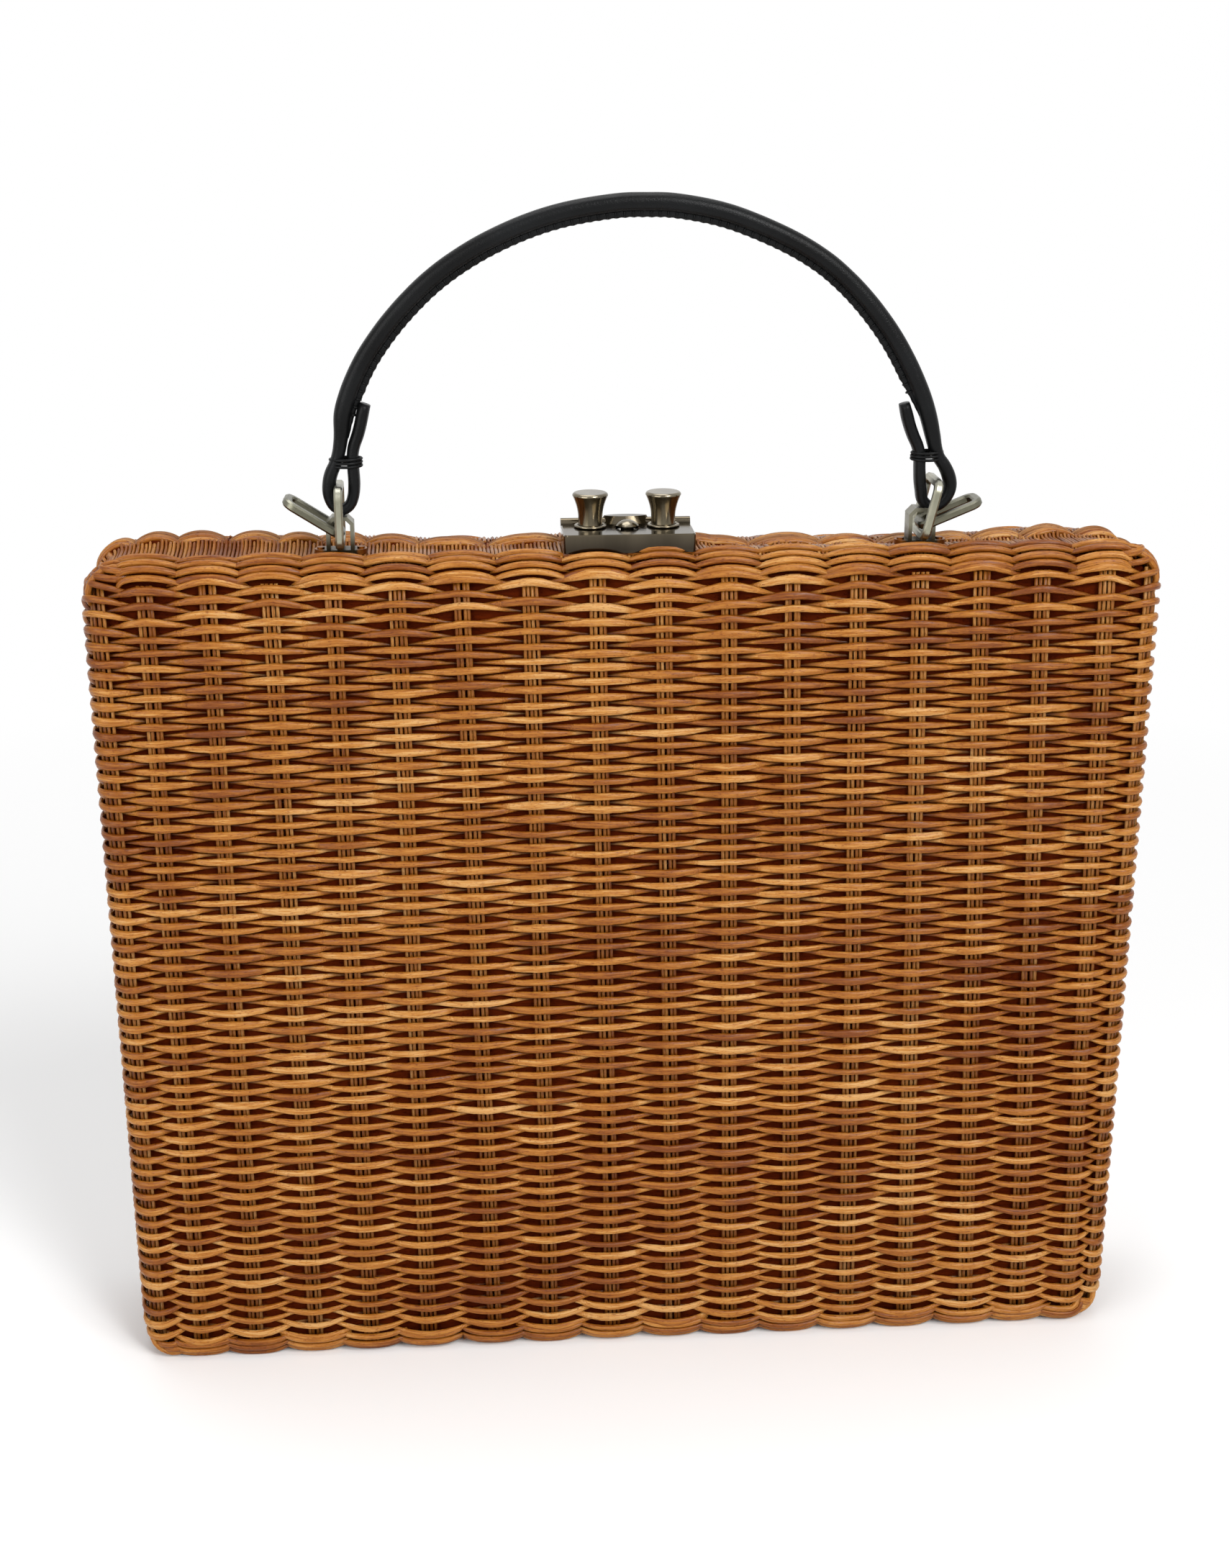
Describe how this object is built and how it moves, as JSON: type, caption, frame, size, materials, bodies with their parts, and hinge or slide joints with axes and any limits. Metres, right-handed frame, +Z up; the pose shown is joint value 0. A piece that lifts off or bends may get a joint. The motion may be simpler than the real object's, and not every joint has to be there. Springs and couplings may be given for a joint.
{
  "type": "basket box bag",
  "caption": "Upright woven rattan box handbag with a black leather top handle, metal rings and a push clasp with paired knobs",
  "frame": {"origin": "on the ground under the middle of the closed bag, in the parting plane of its two trays", "axes": "+X to the right of someone facing the clasp side, +Y from the front face to the back, +Z up"},
  "size_m": [0.2598, 0.0486, 0.2946],
  "materials": {
    "wicker": "woven, satin",
    "leather": "smooth, satin",
    "nickel": "polished",
    "spring_steel": "drawn"
  },
  "bodies": {
    "front_half": {"front_tray": "wicker", "front_border": "wicker", "left_hinge_front_leaf": "nickel", "right_hinge_front_leaf": "nickel", "left_hinge_pin": "nickel", "right_hinge_pin": "nickel", "front_hinge_screws": "nickel", "clasp_base": "nickel", "clasp_base_screws": "nickel", "clasp_rod": "nickel", "left_bracket": "nickel", "right_bracket": "nickel", "bracket_rivets": "nickel"},
    "back_half": {"back_tray": "wicker", "back_border": "wicker", "left_hinge_back_leaf": "nickel", "right_hinge_back_leaf": "nickel", "back_hinge_screws": "nickel", "tongue": "nickel", "tongue_rivets": "nickel", "stud": "nickel"},
    "case": {"clasp_case": "nickel", "catch_spring": "spring_steel"},
    "left_knob_slider": {"left_knob": "nickel", "left_slider": "nickel"},
    "right_knob_slider": {"right_knob": "nickel", "right_slider": "nickel"},
    "left_ring": {"left_handle_ring": "nickel"},
    "right_ring": {"right_handle_ring": "nickel"},
    "left_strap": {"left_strap_ring": "nickel"},
    "right_strap": {"right_strap_ring": "nickel"},
    "top_handle": {"handle": "leather"}
  },
  "joints": [
    {"name": "shell_hinge", "type": "hinge", "parent": "front_half", "child": "back_half", "pos_m": [0, 0, 0.0016], "axis": [-1, 0, 0], "range_deg": [0, 110]},
    {"name": "case_hinge", "type": "hinge", "parent": "front_half", "child": "case", "pos_m": [0, -0.0049, 0.2161], "axis": [-1, 0, 0], "range_deg": [0, 35], "deforming": ["catch_spring"]},
    {"name": "left_knob_slide", "type": "slide", "parent": "case", "child": "left_knob_slider", "axis": [-1, 0, 0], "range_m": [0, 0.0023], "stiffness_N_per_m": 200, "deforming": ["catch_spring"]},
    {"name": "right_knob_slide", "type": "slide", "parent": "case", "child": "right_knob_slider", "axis": [1, 0, 0], "range_m": [0, 0.0023], "stiffness_N_per_m": 200, "deforming": ["catch_spring"]},
    {"name": "left_ring_hinge", "type": "hinge", "parent": "front_half", "child": "left_ring", "pos_m": [-0.0685, -0.01208, 0.2138], "axis": [0, 1, 0], "range_deg": [-8, 8]},
    {"name": "handle_hinge", "type": "hinge", "parent": "left_ring", "child": "top_handle", "pos_m": [-0.0685, -0.01208, 0.227], "axis": [0, 1, 0], "range_deg": [-8, 8]},
    {"name": "right_ring_hinge", "type": "hinge", "parent": "front_half", "child": "right_ring", "pos_m": [0.0711, -0.01208, 0.2138], "axis": [0, 1, 0], "range_deg": [-8, 8]},
    {"name": "left_strap_hinge", "type": "hinge", "parent": "front_half", "child": "left_strap", "pos_m": [-0.0685, -0.01208, 0.21625], "axis": [0, 1, 0], "range_deg": [-47, 8]},
    {"name": "right_strap_hinge", "type": "hinge", "parent": "front_half", "child": "right_strap", "pos_m": [0.0711, -0.01208, 0.21625], "axis": [0, -1, 0], "range_deg": [-30, 6]}
  ],
  "couplings": [
    {"joint": "handle_hinge", "follows": "left_ring_hinge", "ratio": -1},
    {"joint": "right_ring_hinge", "follows": "left_ring_hinge", "ratio": 1}
  ]
}
